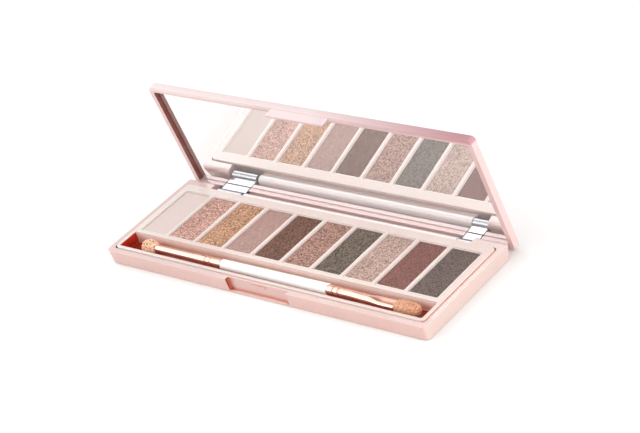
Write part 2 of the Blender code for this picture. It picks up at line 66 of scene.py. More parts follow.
# ---- camera, light and floor: places in mm, angles in degrees, the panel and floor in metres -----
LOOK_AT = Vector((12.1, 4.7, 19.8)) * MM
CAMERA_DISTANCE = 790.9 * MM
CAMERA_AZIMUTH = 48.9
CAMERA_ELEVATION = 30.58
CAMERA_ROLL = -18.36
CAMERA_LENS = 117.4

# On the sky: a broad soft lamp up on the left with a bright core, a dark card behind, and an even fill.
LAMP_DIRECTION = Vector((-0.74, -0.20, 0.64)).normalized()
LAMP_EDGE = (0.74, 0.84)
LAMP_STRENGTH = 1.9
FILL_STRENGTH = 0.86
CORE_DIRECTION = Vector((-0.63, -0.55, 0.55)).normalized()
CORE_EDGE = (0.972, 0.980)
CORE_STRENGTH = 2.5
CARD_DIRECTION = Vector((-0.385, 0.723, 0.574)).normalized()
CARD_EDGE = (0.88, 0.96)
CARD_SHARE = 0.75
PANEL_PLACE = Vector((900, -60, 260)) * MM
PANEL_SIZE = (0.6, 0.3)
PANEL_ENERGY = 4.7
FLOOR_HALF = 4.0

# ---- edge rounding, in mm ------------------------------------------------------------------------
SHARP_ANGLE = math.radians(28)
CASE_EDGE = 0.28
LID_EDGE = 0.22
WELL_EDGE = 0.18
TROUGH_EDGE = 0.6
LEAF_EDGE = 0.08

# ---- tints of the mouldings, with painted light and shade ----------------------------------------
CASE_BLUSH = (0.62, 0.39, 0.35)
# Painted light on the rim top, the right wall and the hinge barrel, and painted shade on the thumb
# notch's left end wall and in its corners.
RIM_PAINTED_LIGHT = (0.74, 0.58, 0.55)
RIGHT_WALL_PAINTED_LIGHT = (0.61, 0.46, 0.42)
NOTCH_END_PAINTED_SHADE = (0.24, 0.008, 0.003)
NOTCH_CORNER_PAINTED_SHADE = (0.58, 0.16, 0.08)
BARREL_PAINTED_HIGHLIGHT = (0.90, 0.82, 0.80)
DECK_BLUSH = (0.73, 0.60, 0.56)
# Painted light at the deck's left end, a painted glow on the trough's rear wall that deepens to painted
# shade lower down, painted shade on the trough's floor and left end, and a painted glow on the tray's
# outer walls.
DECK_LEFT_PAINTED_LIGHT = (0.81, 0.72, 0.69)
REAR_WALL_TOP_PAINTED_GLOW = (1.0, 0.82, 0.75)
REAR_WALL_LOW_PAINTED_SHADE = (0.92, 0.44, 0.31)
TROUGH_FLOOR_PAINTED_SHADE = (0.36, 0.030, 0.012)
TROUGH_LEFT_END_PAINTED_SHADE = (0.44, 0.020, 0.006)
TRAY_OUTSIDE_PAINTED_GLOW = (0.95, 0.52, 0.36)
LID_BLUSH = (0.68, 0.48, 0.47)
# Painted light and shade along the lid's free edge, and painted shade on the lid's left inner wall.
FREE_EDGE_PAINTED_LIGHT = (0.78, 0.65, 0.65)
FREE_EDGE_PAINTED_SHADE = (0.51, 0.27, 0.29)
LID_LEFT_PAINTED_SHADE = (0.20, 0.055, 0.045)

# ---- powder: name, mean colour, spread of its grains, flake share, relief in mm, roughness -------
SHADES = (
    ("cream", (0.682, 0.566, 0.531), 0.05, 0.00, 0.010, 0.62),
    ("rose_glitter", (0.412, 0.233, 0.190), 1.05, 0.22, 0.040, 0.50),
    ("gold_glitter", (0.357, 0.196, 0.117), 1.05, 0.24, 0.045, 0.48),
    ("mauve", (0.394, 0.250, 0.222), 0.32, 0.00, 0.012, 0.80),
    ("dark_brown", (0.134, 0.065, 0.044), 1.05, 0.08, 0.022, 0.62),
    ("rose_brown_glitter", (0.278, 0.157, 0.123), 1.05, 0.20, 0.040, 0.52),
    ("olive_glitter", (0.112, 0.084, 0.064), 1.05, 0.16, 0.035, 0.54),
    ("champagne_glitter", (0.376, 0.259, 0.218), 0.69, 0.22, 0.035, 0.50),
    ("plum", (0.200, 0.094, 0.082), 0.52, 0.00, 0.012, 0.82),
    ("charcoal", (0.122, 0.089, 0.079), 0.71, 0.08, 0.018, 0.60),
)
MATT_GRAIN = 0.72
CAKE_GRID = 0.3
CAKE_EDGE = 0.35
CAKE_CORNER = 0.5
CAKE_GROWTH = 0.07

# ---- applicator: ring places count from a ferrule's handle end, in mm ----------------------------
FERRULE_SHEET = 0.25
LEFT_RINGS = (8.0, 5.4)
RIGHT_RINGS = (3.2, 5.8)
RING_WIDTH_LEFT = 0.34
RING_WIDTH_RIGHT = 0.36
RING_DEPTH = 0.22
BALL_STRETCH = 4.1 / 3.25
FOAM_SHIFT = Vector((31.7, 17.3, 5.9))


# ---- node helpers --------------------------------------------------------------------------------
def new_material(name):
    made = bpy.data.materials.new(name)
    made.use_nodes = True
    return made, made.node_tree, made.node_tree.nodes["Principled BSDF"]


def node(tree, kind, inputs=None, **settings):
    """One shader node. A value that is a socket is linked, and any other is set on its input."""
    made = tree.nodes.new(kind)
    for key, value in settings.items():
        setattr(made, key, value)
    for key, value in (inputs or {}).items():
        if isinstance(value, bpy.types.NodeSocket):
            tree.links.new(value, made.inputs[key])
        else:
            made.inputs[key].default_value = value
    return made


def place(tree):
    return node(tree, "ShaderNodeTexCoord").outputs["Object"]


def noise_value(tree, where, scale, detail=2.0, roughness=0.5):
    inputs = {"Vector": where, "Scale": scale, "Detail": detail, "Roughness": roughness}
    return node(tree, "ShaderNodeTexNoise", inputs).outputs["Fac"]


def remap(tree, value, low, high, from_low=0.3, from_high=0.7):
    inputs = {"Value": value, "From Min": from_low, "From Max": from_high, "To Min": low, "To Max": high}
    return node(tree, "ShaderNodeMapRange", inputs).outputs["Result"]


def mix_colour(tree, factor, first, second):
    made = node(tree, "ShaderNodeMix", data_type="RGBA")
    for key, value in ((0, factor), (6, first), (7, second)):
        if isinstance(value, bpy.types.NodeSocket):
            tree.links.new(value, made.inputs[key])
        else:
            made.inputs[key].default_value = value if key == 0 else (*value, 1.0)
    return made.outputs[2]


def bump(tree, height, strength, distance, normal=None):
    inputs = {"Height": height, "Strength": strength, "Distance": distance}
    if normal is not None:
        inputs["Normal"] = normal
    return node(tree, "ShaderNodeBump", inputs).outputs["Normal"]


def axes(tree, vector):
    return node(tree, "ShaderNodeSeparateXYZ", {"Vector": vector}).outputs


def both(tree, first, second):
    """The product of two factors."""
    return node(tree, "ShaderNodeMath", {0: first, 1: second}, operation="MULTIPLY").outputs[0]


def size_of(tree, value):
    return node(tree, "ShaderNodeMath", {0: value}, operation="ABSOLUTE").outputs[0]


def openness(tree, reach):
    """1 on open faces, falling to 0 where the piece's own walls within reach (mm) close in."""
    inputs = {"Distance": reach * MM}
    return node(tree, "ShaderNodeAmbientOcclusion", inputs, samples=8, only_local=True).outputs["AO"]


def scaled(colour, factor):
    return tuple(min(1.0, channel * factor) for channel in colour)


# ---- materials -----------------------------------------------------------------------------------
def plastic_material(name, colour, gloss, subsurface, coat=0.0, painted_light_and_shade=None):
    """Satin moulded plastic: faint flow clouds in its colour, and a fine grain in gloss and relief.
    A painting function (tree, where, facing, tint), when given, adds painted light and shade to its
    colour by place and by the way its faces look."""
    made, tree, shader = new_material(name)
    where = place(tree)
    clouds = remap(tree, noise_value(tree, where, 55.0, 3.0), 0.0, 1.0)
    tint = mix_colour(tree, clouds, scaled(colour, 0.975), scaled(colour, 1.02))
    if painted_light_and_shade:
        facing = node(tree, "ShaderNodeNewGeometry").outputs["Normal"]
        tint = painted_light_and_shade(tree, axes(tree, where), axes(tree, facing), tint)
    tree.links.new(tint, shader.inputs["Base Color"])
    grain = noise_value(tree, where, 3500.0, 2.0)
    tree.links.new(remap(tree, grain, gloss - 0.03, gloss + 0.03), shader.inputs["Roughness"])
    tree.links.new(bump(tree, grain, 0.03, 0.01 * MM), shader.inputs["Normal"])
    shader.inputs["IOR"].default_value = 1.49
    shader.inputs["Specular IOR Level"].default_value = 0.5
    shader.inputs["Coat Weight"].default_value = coat
    shader.inputs["Coat Roughness"].default_value = 0.06
    shader.inputs["Subsurface Weight"].default_value = subsurface
    shader.inputs["Subsurface Radius"].default_value = (1.0, 0.28, 0.16)
    shader.inputs["Subsurface Scale"].default_value = 2.4 * MM
    return made


def shell_painted_light_and_shade(tree, where, facing, tint):
    """Painted light on a paler rim top, right wall and hinge barrel, and painted dark red shade on the
    thumb notch's left end wall and in its corners.
    """
    low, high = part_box("base_case")
    barrel_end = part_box("hinge_knuckle_right")[0].x
    # painted light: faces that look up take the paler rim colour
    rim = remap(tree, facing["Z"], 0.0, 1.0, 0.6, 0.95)
    tint = mix_colour(tree, rim, tint, RIM_PAINTED_LIGHT)
    # painted light: the right outer wall is made paler
    sideways = remap(tree, facing["X"], 0.0, 1.0, 0.3, 0.8)
    right = remap(tree, where["X"], 0.0, 1.0, high.x - 8.5 * MM, high.x - 2.5 * MM)
    tint = mix_colour(tree, both(tree, sideways, right), tint, RIGHT_WALL_PAINTED_LIGHT)
    # painted shade: the thumb notch's left end wall is made dark red
    front = remap(tree, where["Y"], 1.0, 0.0, low.y + 3.0 * MM, low.y + 6.0 * MM)
    left = remap(tree, where["X"], 1.0, 0.0, 0.0, 4.0 * MM)
    tint = mix_colour(tree, both(tree, front, both(tree, left, sideways)), tint, NOTCH_END_PAINTED_SHADE)
    # painted shade: the notch's corners, where its walls close in, are made darker red
    closed = remap(tree, openness(tree, 2.2), 1.0, 0.0, 0.55, 0.85)
    tint = mix_colour(tree, both(tree, front, closed), tint, NOTCH_CORNER_PAINTED_SHADE)
    # painted highlight: the hinge barrel at the case's back is made pale
    behind = remap(tree, where["Y"], 0.0, 1.0, high.y - 4.9 * MM, high.y - 4.3 * MM)
    inward = remap(tree, size_of(tree, where["X"]), 1.0, 0.0, barrel_end - 0.6 * MM, barrel_end)
    return mix_colour(tree, both(tree, behind, inward), tint, BARREL_PAINTED_HIGHLIGHT)


def deck_painted_light_and_shade(tree, where, facing, tint):
    """Painted light and shade in place of light scattered inside the moulding: a painted glow on the
    trough's rear wall, painted dark red shade on its floor and left end, and a painted warm glow on the
    outer wall. Painted light makes the deck palest at its left end."""
    low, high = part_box("inner_tray")
    deck = high.z
    # painted light: the deck is made paler towards its left end
    pale = remap(tree, where["X"], 1.0, 0.0, low.x, low.x + 40 * MM)
    tint = mix_colour(tree, pale, tint, DECK_LEFT_PAINTED_LIGHT)
    # painted light: the trough's rear wall gets a painted glow near the top that deepens to painted shade
    # lower down
    rear = remap(tree, facing["Y"], 1.0, 0.0, -0.8, -0.4)
    rear = both(tree, rear, remap(tree, where["Z"], 1.0, 0.0, deck - 0.5 * MM, deck - 0.1 * MM))
    deep = remap(tree, where["Z"], 1.0, 0.0, deck - 5.2 * MM, deck - 1.2 * MM)
    tint = mix_colour(tree, rear, tint, mix_colour(tree, deep, REAR_WALL_TOP_PAINTED_GLOW, REAR_WALL_LOW_PAINTED_SHADE))
    # painted shade: the trough's floor is made dark red
    floor = remap(tree, where["Z"], 1.0, 0.0, deck - 5.0 * MM, deck - 3.0 * MM)
    open_floor = both(tree, floor, remap(tree, facing["Y"], 0.0, 1.0, -0.75, -0.3))
    tint = mix_colour(tree, open_floor, tint, TROUGH_FLOOR_PAINTED_SHADE)
    # painted shade: the trough's left end wall is made dark red
    end = both(tree, remap(tree, where["Z"], 1.0, 0.0, deck - 0.6 * MM, deck - 0.2 * MM),
               remap(tree, facing["X"], 0.0, 1.0, 0.3, 0.8))
    tint = mix_colour(tree, end, tint, TROUGH_LEFT_END_PAINTED_SHADE)
    # painted light: the tray's outer end walls below the deck get a warm painted glow
    outward = remap(tree, size_of(tree, where["X"]), 0.0, 1.0, high.x - 1.2 * MM, high.x - 1.0 * MM)
    outward = both(tree, outward, remap(tree, where["Z"], 1.0, 0.0, deck - 0.5 * MM, deck - 0.2 * MM))
    return mix_colour(tree, outward, tint, TRAY_OUTSIDE_PAINTED_GLOW)


def cover_painted_light_and_shade(tree, where, facing, tint):
    """Painted light and shade: the lid's free edge goes from pale to mauve along its length, and its left
    inner wall gets dark painted shade.
    """
    low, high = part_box("lid_shell")
    # painted light and shade: the lid's free edge is made pale at the left and mauve at the right
    along = remap(tree, where["X"], 0.0, 1.0, 5 * MM, 75 * MM)
    edge = mix_colour(tree, along, FREE_EDGE_PAINTED_LIGHT, FREE_EDGE_PAINTED_SHADE)
    at_edge = remap(tree, where["Z"], 0.0, 1.0, high.z - 2.4 * MM, high.z - 1.4 * MM)
    tint = mix_colour(tree, at_edge, tint, edge)
    # painted shade: the lid's left inner wall is made dark
    inside = both(tree, remap(tree, facing["X"], 0.0, 1.0, 0.4, 0.9),
                  remap(tree, where["X"], 1.0, 0.0, low.x + 12.5 * MM, low.x + 22.5 * MM))
    return mix_colour(tree, inside, tint, LID_LEFT_PAINTED_SHADE)


def powder_material(name, mean, spread, glitter, roughness):
    """Pressed powder: grains of about 0.4 mm, finer in the matt shades, with pearl flakes between."""
    made, tree, shader = new_material(name)
    dark, light = scaled(mean, 1 - 0.85 * spread), scaled(mean, 1 + 1.15 * spread)
    where = place(tree)
    size = 1.0 if glitter > 0.1 else MATT_GRAIN
    fine = noise_value(tree, where, 2300.0 / size, 3.0, 0.7)
    soft = noise_value(tree, where, 160.0, 2.0)
    cells, clumps = (node(tree, "ShaderNodeTexVoronoi", {"Vector": where, "Scale": scale / size})
                     for scale in (2400.0, 1800.0))
    chance, lumps = (node(tree, "ShaderNodeSeparateColor", {"Color": lot.outputs["Color"]}).outputs
                     for lot in (cells, clumps))
    drift = remap(tree, soft, -0.06, 0.06)
    patches = node(tree, "ShaderNodeMath", {0: fine, 1: drift}, operation="ADD").outputs[0]
    grains = remap(tree, patches, 0.0, 1.0, 0.38, 0.62)
    speckle = node(tree, "ShaderNodeMix", {0: 0.4, 2: chance["Green"], 3: lumps["Red"]}).outputs[0]
    speckle = remap(tree, speckle, 0.0, 1.0, 0.16, 0.84)
    grains = node(tree, "ShaderNodeMix", {0: 0.85, 2: grains, 3: speckle}).outputs[0]
    colour = mix_colour(tree, grains, dark, light)
    relief = bump(tree, fine, 0.45, 0.05 * MM)
    gloss = remap(tree, fine, roughness - 0.06, roughness + 0.06)
    if glitter > 0:
        flakes = remap(tree, chance["Red"], 0.0, 1.0, 1.0 - glitter, 1.0 - 0.4 * glitter)
        pearl = mix_colour(tree, chance["Blue"], mean, scaled(light, 1.25))
        colour = mix_colour(tree, flakes, colour, pearl)
        tilt = node(tree, "ShaderNodeVectorMath", {0: cells.outputs["Color"], 1: (0.5, 0.5, 0.5)},
                    operation="SUBTRACT").outputs[0]
        lean = node(tree, "ShaderNodeVectorMath", {0: tilt, "Scale": 0.4}, operation="SCALE").outputs[0]
        turned = node(tree, "ShaderNodeVectorMath", {0: lean, 1: relief}, operation="ADD").outputs[0]
        relief = node(tree, "ShaderNodeVectorMath", {0: turned}, operation="NORMALIZE").outputs[0]
        shine = node(tree, "ShaderNodeMath", {0: flakes, 1: 0.35}, operation="MULTIPLY").outputs[0]
        tree.links.new(shine, shader.inputs["Metallic"])
        gloss = remap(tree, flakes, roughness, 0.40, 0.0, 1.0)
    tree.links.new(gloss, shader.inputs["Roughness"])
    tree.links.new(colour, shader.inputs["Base Color"])
    tree.links.new(relief, shader.inputs["Normal"])
    shader.inputs["Specular IOR Level"].default_value = 0.25
    return made


def metal_material(name, colour, gloss, stretch, depth, metallic=1.0):
    """Plated or drawn metal. Its hairlines are a noise that stretch makes fine along one axis."""
    made, tree, shader = new_material(name)
    where = place(tree)
    lines = node(tree, "ShaderNodeMapping", {"Vector": where, "Scale": stretch}).outputs["Vector"]
    hair = noise_value(tree, lines, 1.0, 3.0)
    clouds = remap(tree, noise_value(tree, where, 120.0), 0.0, 1.0)
    tree.links.new(mix_colour(tree, clouds, scaled(colour, 0.95), colour), shader.inputs["Base Color"])
    tree.links.new(remap(tree, hair, gloss - 0.03, gloss + 0.05), shader.inputs["Roughness"])
    tree.links.new(bump(tree, hair, depth, 0.01 * MM), shader.inputs["Normal"])
    shader.inputs["Metallic"].default_value = metallic
    return made


def mirror_material():
    """Silvered glass: a thin even haze from its front face, and the faintest wipe marks in its gloss."""
    made, tree, shader = new_material("silvered_glass")
    where = place(tree)
    drawn = node(tree, "ShaderNodeMapping", {"Vector": where, "Scale": (25.0, 140.0, 140.0)})
    wipes = noise_value(tree, drawn.outputs["Vector"], 1.0, 4.0)
    tree.links.new(remap(tree, wipes, 0.012, 0.03), shader.inputs["Roughness"])
    tint = mix_colour(tree, wipes, (0.955, 0.955, 0.955), (0.965, 0.963, 0.962))
    tree.links.new(tint, shader.inputs["Base Color"])
    shader.inputs["Metallic"].default_value = 0.82
    shader.inputs["Coat Weight"].default_value = 0.3
    shader.inputs["Coat Roughness"].default_value = 0.01
    return made


def lacquer_material():
    """White gloss lacquer with the slow waviness of a dipped coat."""
    made, tree, shader = new_material("white_lacquer")
    where = place(tree)
    wave = noise_value(tree, where, 260.0, 2.0)
    tint = mix_colour(tree, wave, (0.95, 0.95, 0.94), (0.98, 0.98, 0.97))
    tree.links.new(tint, shader.inputs["Base Color"])
    tree.links.new(remap(tree, wave, 0.14, 0.20), shader.inputs["Roughness"])
    tree.links.new(bump(tree, wave, 0.05, 0.05 * MM), shader.inputs["Normal"])
    shader.inputs["Coat Weight"].default_value = 0.5
    shader.inputs["Coat Roughness"].default_value = 0.08
    return made


def sponge_material(name, dark, light):
    """Open-cell foam: painted shade darkens the pores that its mesh carries, and its cell walls are
    lighter.
    """
    made, tree, shader = new_material(name)
    where = place(tree)
    fine = noise_value(tree, where, 2200.0, 3.0)
    walls = mix_colour(tree, remap(tree, fine, 0.0, 1.0, 0.38, 0.62), dark, light)
    # painted shade: the pores that the mesh carries are made dark
    pores = node(tree, "ShaderNodeAttribute", attribute_name="pore").outputs["Fac"]
    colour = mix_colour(tree, remap(tree, pores, 0.0, 1.0, 0.02, 0.55), walls, (0.42, 0.12, 0.05))
    tree.links.new(colour, shader.inputs["Base Color"])
    cells = node(tree, "ShaderNodeTexVoronoi", {"Vector": where, "Scale": 3200.0, "Randomness": 1.0})
    relief = bump(tree, cells.outputs["Distance"], 0.5, 0.08 * MM)
    tree.links.new(bump(tree, fine, 0.4, 0.05 * MM, relief), shader.inputs["Normal"])
    tree.links.new(remap(tree, fine, 0.88, 1.0), shader.inputs["Roughness"])
    shader.inputs["Specular IOR Level"].default_value = 0.2
    shader.inputs["Subsurface Weight"].default_value = 0.15
    shader.inputs["Subsurface Radius"].default_value = (1.0, 0.45, 0.25)
    shader.inputs["Subsurface Scale"].default_value = 0.5 * MM
    return made


def film_material():
    """Adhesive foam tape: a fibrous, faintly blotched matt film."""
    made, tree, shader = new_material("tape_film")
    where = place(tree)
    fibres = noise_value(tree, where, 700.0, 5.0, 0.7)
    tint = mix_colour(tree, fibres, (0.74, 0.74, 0.71), (0.86, 0.86, 0.83))
    tree.links.new(tint, shader.inputs["Base Color"])
    tree.links.new(remap(tree, fibres, 0.75, 0.95), shader.inputs["Roughness"])
    tree.links.new(bump(tree, fibres, 0.3, 0.05 * MM), shader.inputs["Normal"])
    return made


def dress(obj, made):
    obj.data.materials.clear()
    obj.data.materials.append(made)
    for face in obj.data.polygons:
        face.material_index = 0


# ---- mesh helpers --------------------------------------------------------------------------------
def new_piece(name, bm, made, body, slot, *nodes, smooth_angle=35.0):
    """A mesh in metres becomes a piece that rides on a body and stands for its CAD nodes."""
    bmesh.ops.recalc_face_normals(bm, faces=bm.faces)
    mesh = bpy.data.meshes.new(name)
    bm.to_mesh(mesh)
    bm.free()
    mesh.shade_smooth()
    mesh.set_sharp_from_angle(angle=math.radians(smooth_angle))
    obj = bpy.data.objects.new(name, mesh)
    bpy.context.scene.collection.objects.link(obj)
    dress(obj, made)
    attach(obj, body)
    if nodes:
        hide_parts(*nodes)
    return obj


def sharp_edges(bm, wanted):
    return [edge for edge in bm.edges if len(edge.link_faces) == 2
            and edge.calc_face_angle(0.0) > SHARP_ANGLE and wanted(edge)]


def rounded_copy(name, cad_node, made, body, slot, groups):
    """The CAD node's own shape with its sharp edges rounded, one (radius in mm, test) group at a time."""
    bm = bmesh.new()
    bm.from_mesh(frame["nodes"][cad_node].data)
    bmesh.ops.remove_doubles(bm, verts=bm.verts, dist=0.001 * MM)
    bmesh.ops.dissolve_limit(bm, angle_limit=math.radians(0.6), verts=bm.verts, edges=bm.edges)
    for radius, wanted in groups:
        bmesh.ops.bevel(bm, geom=sharp_edges(bm, wanted), offset=radius * MM, offset_type="OFFSET",
                        segments=5, profile=0.5, affect="EDGES", clamp_overlap=True, harden_normals=False)
    obj = new_piece(name, bm, made, body, slot, cad_node)
    weighted = obj.modifiers.new("even_shading", "WEIGHTED_NORMAL")
    weighted.keep_sharp = True
    return obj


def middle(edge):
    return (edge.verts[0].co + edge.verts[1].co) / 2


# ---- case, tray and lid --------------------------------------------------------------------------
def everywhere(edge):
    return True


def build_mouldings():
    _, tray_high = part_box("inner_tray")
    powder_low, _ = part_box("powder_01")

    def beside_trough(edge):
        at = middle(edge)
        on_top = all(abs(vert.co.z - tray_high.z) < 0.1 * MM for vert in edge.verts)
        return on_top and at.y < powder_low.y - 0.8 * MM and abs(at.x) < tray_high.x - 1.0 * MM

    shell = plastic_material("blush_plastic", CASE_BLUSH, 0.20, 0.3, 0.9, shell_painted_light_and_shade)
    deck = plastic_material("pale_blush_plastic", DECK_BLUSH, 0.28, 0.3, 0.2, deck_painted_light_and_shade)
    cover = plastic_material("lid_blush_plastic", LID_BLUSH, 0.18, 0.2, 0.6, cover_painted_light_and_shade)
    rounded_copy("case_moulding", "base_case", shell, "case", "case_plastic", [(CASE_EDGE, everywhere)])
    rounded_copy("tray_moulding", "inner_tray", deck, "case", "tray_plastic",
                 [(TROUGH_EDGE, beside_trough), (WELL_EDGE, everywhere)])
    rounded_copy("lid_moulding", "lid_shell", cover, "lid", "lid_plastic", [(LID_EDGE, everywhere)])


def build_knuckles(made):
    """The hinge knuckles with the edges of their barrels and leaves broken."""
    for side in ("left", "right"):
        rounded_copy("chrome_knuckle_" + side, "hinge_knuckle_" + side, made, "lid", "hinge_chrome",
                     [(LEAF_EDGE, everywhere)])


# ---- powder cakes --------------------------------------------------------------------------------
def into_round_rectangle(x, y, half_x, half_y, corner):
    """Pull a point of a rectangle in to the rectangle's rounded corner."""
    over_x = abs(x) - (half_x - corner)
    over_y = abs(y) - (half_y - corner)
    if over_x <= 0 or over_y <= 0:
        return x, y
    reach = math.hypot(over_x, over_y)
    if reach <= corner:
        return x, y
    pull = corner / reach
    return (math.copysign(half_x - corner + over_x * pull, x),
            math.copysign(half_y - corner + over_y * pull, y))


def cake_mesh(low, high, relief, seed):
    """A pressed cake: a rolled edge, a grainy top that is a little hollow, and crumbled sides."""
    centre = (low + high) / 2
    half_x, half_y = (high.x - low.x) / 2 + CAKE_GROWTH * MM, (high.y - low.y) / 2 + CAKE_GROWTH * MM
    columns = round(2 * half_x / (CAKE_GRID * MM))
    rows = round(2 * half_y / (CAKE_GRID * MM))
    shift = Vector((seed * 7.3, seed * 3.1, seed * 1.7))
    bm = bmesh.new()
    bmesh.ops.create_grid(bm, x_segments=columns, y_segments=rows, size=1.0)
    for vert in bm.verts:
        x, y = into_round_rectangle(vert.co.x * half_x, vert.co.y * half_y, half_x, half_y,
                                    CAKE_CORNER * MM)
        at = Vector((x, y, 0.0)) / MM + shift
        from_edge = min(half_x - abs(x), half_y - abs(y)) / MM
        roll = max(0.0, 1.0 - from_edge / CAKE_EDGE)
        rolled = 0.22 * roll * roll
        dish = 0.05 * min(1.0, max(0.0, from_edge) / 4.0)
        grain = relief * (noise.noise(at * 2.9) + 0.6 * noise.noise(at * 1.1))
        wave = 0.015 * noise.noise(at * 0.25)
        crumble = 0.10 * abs(noise.noise(at * 1.6)) * (roll > 0.99)
        keep = 1.0 - crumble * MM / half_x
        height = min(0.0, -0.07 - rolled - dish + grain + wave)
        vert.co = Vector((centre.x + x * keep, centre.y + y * keep, high.z + height * MM))
    rim = [edge for edge in bm.edges if len(edge.link_faces) == 1]
    skirt = bmesh.ops.extrude_edge_only(bm, edges=rim)
    moved = [item for item in skirt["geom"] if isinstance(item, bmesh.types.BMVert)]
    for vert in moved:
        vert.co.z = low.z
    bmesh.ops.holes_fill(bm, edges=[edge for edge in bm.edges if len(edge.link_faces) == 1], sides=0)
    return bm


def build_powders():
    for number, (shade, mean, spread, glitter, relief, roughness) in enumerate(SHADES, start=1):
        low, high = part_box("powder_%02d" % number)
        made = powder_material("pressed_" + shade, mean, spread, glitter, roughness)
        bm = cake_mesh(low, high, relief, number)
        new_piece("cake_%02d_%s" % (number, shade), bm, made, "case", "powder_%02d" % number,
                  "powder_%02d" % number, smooth_angle=60.0)


# ---- applicator ----------------------------------------------------------------------------------
def lathe(profile, axis_y, axis_z, segments=64, closed=False):
    """A profile of (x, radius) in metres turned about a line along X."""
    stations = [(x, radius, radius, 2.0) for x, radius in profile]
    return loft(stations, axis_y, axis_z, segments, closed)


def loft(stations, axis_y, axis_z, segments=64, closed=False):
    """Sections (x, half width, half height, squareness) joined in order, as a tube or with two caps."""
    bm = bmesh.new()
    rings = []
    for x, half_width, half_height, power in stations:
        ring = []
        for step in range(segments):
            angle = 2 * math.pi * step / segments
            c, s = math.cos(angle), math.sin(angle)
            across = math.copysign(abs(c) ** (2 / power), c) * half_width
            up = math.copysign(abs(s) ** (2 / power), s) * half_height
            ring.append(bm.verts.new((x, axis_y + across, axis_z + up)))
        rings.append(ring)
    pairs = list(zip(rings, rings[1:]))
    if closed:
        pairs.append((rings[-1], rings[0]))
    for first, second in pairs:
        for index in range(segments):
            after = (index + 1) % segments
            bm.faces.new((first[index], first[after], second[after], second[index]))
    if not closed:
        bm.faces.new(rings[0])
        bm.faces.new(list(reversed(rings[-1])))
    return bm


def between(stations, x):
    """Half width, half height and squareness at x, eased from one station to the next."""
    for (x0, *first), (x1, *second) in zip(stations, stations[1:]):
        if x <= x1:
            share = max(0.0, (x - x0) / (x1 - x0))
            share = share * share * (3 - 2 * share)
            return [a + (b - a) * share for a, b in zip(first, second)]
    return list(stations[-1][1:])


def ring_depth(x, centres, half_width, depth):
    """How deep rolled rings at these centres press a tube at x."""
    return sum(depth * math.exp(-((x - centre) / half_width) ** 4) for centre in centres)


def build_handle(made):
    low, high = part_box("applicator_handle")
    spigot = 6.0 * MM
    start, end = low.x + spigot, high.x - spigot
    end_radius = (high.z - low.z) / 2
    start_radius = end_radius - 0.25 * MM
    round_off = 0.45 * MM
    spigot_radius = 1.0 * MM
    steps = 8
    turns = [math.pi / 2 * step / steps for step in range(steps + 1)]
    profile = [(low.x, spigot_radius), (start, spigot_radius)]
    for turn in turns:
        profile.append((start + round_off * (1 - math.cos(turn)),
                        start_radius - round_off * (1 - math.sin(turn))))
    for turn in turns:
        profile.append((end - round_off * (1 - math.sin(turn)),
                        end_radius - round_off * (1 - math.cos(turn))))
    profile += [(end, spigot_radius), (high.x, spigot_radius)]
    centre = (low + high) / 2
    bm = lathe(profile, centre.y, centre.z)
    new_piece("handle", bm, made, "applicator", "handle_plastic", "applicator_handle", smooth_angle=50.0)


def build_left_ferrule(made):
    low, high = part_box("applicator_ferrule_left")
    centre = (low + high) / 2
    thick = (high.z - low.z) / 2
    thin = thick - 0.25 * MM
    sheet = FERRULE_SHEET * MM
    rings = [high.x - distance * MM for distance in LEFT_RINGS]
    stations = [(low.x, thin - 0.12 * MM), (low.x + 0.4 * MM, thin), (low.x + 20 * MM, thin + 0.08 * MM),
                (high.x - 11 * MM, thick), (high.x, thick)]
    outer = []
    steps = 120
    for step in range(steps + 1):
        x = low.x + (high.x - low.x) * step / steps
        radius = between(stations, x)[0] - ring_depth(x, rings, RING_WIDTH_LEFT * MM, RING_DEPTH * MM)
        outer.append((x, radius))
    inner = [(x, radius - sheet) for x, radius in reversed(outer[::20])]
    bm = lathe(outer + inner, centre.y, centre.z, segments=48, closed=True)
    new_piece("ferrule_ball_end", bm, made, "applicator", "rose_gold", "applicator_ferrule_left",
              smooth_angle=40.0)


def build_right_ferrule(made):
    low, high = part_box("applicator_ferrule_right")
    centre = (low + high) / 2
    half_width = (high.y - low.y) / 2
    radius = (high.z - low.z) / 2
    sheet = FERRULE_SHEET * MM
    length = high.x - low.x
    rings = [low.x + distance * MM for distance in RIGHT_RINGS]
    drawn = radius - 0.12 * MM
    grip = 1.36 * MM
    stations = [(low.x, radius, radius, 2.0), (low.x + 11 * MM, drawn, drawn, 2.0),
                (low.x + 19 * MM, 2.05 * MM, 1.75 * MM, 2.1),
                (low.x + 26.5 * MM, half_width, grip, 3.6), (high.x, half_width, grip, 4.2)]
    outer = []
    steps = 130
    for step in range(steps + 1):
        x = low.x + length * step / steps
        wide, tall, power = between(stations, x)
        press = ring_depth(x, rings, RING_WIDTH_RIGHT * MM, RING_DEPTH * MM)
        outer.append((x, wide - press, tall - press, power))
    inner = [(x, wide - sheet, tall - sheet, power) for x, wide, tall, power in reversed(outer[::13])]
    bm = loft(outer + inner, centre.y, centre.z, closed=True)
    new_piece("ferrule_tip_end", bm, made, "applicator", "rose_gold", "applicator_ferrule_right",
              smooth_angle=40.0)


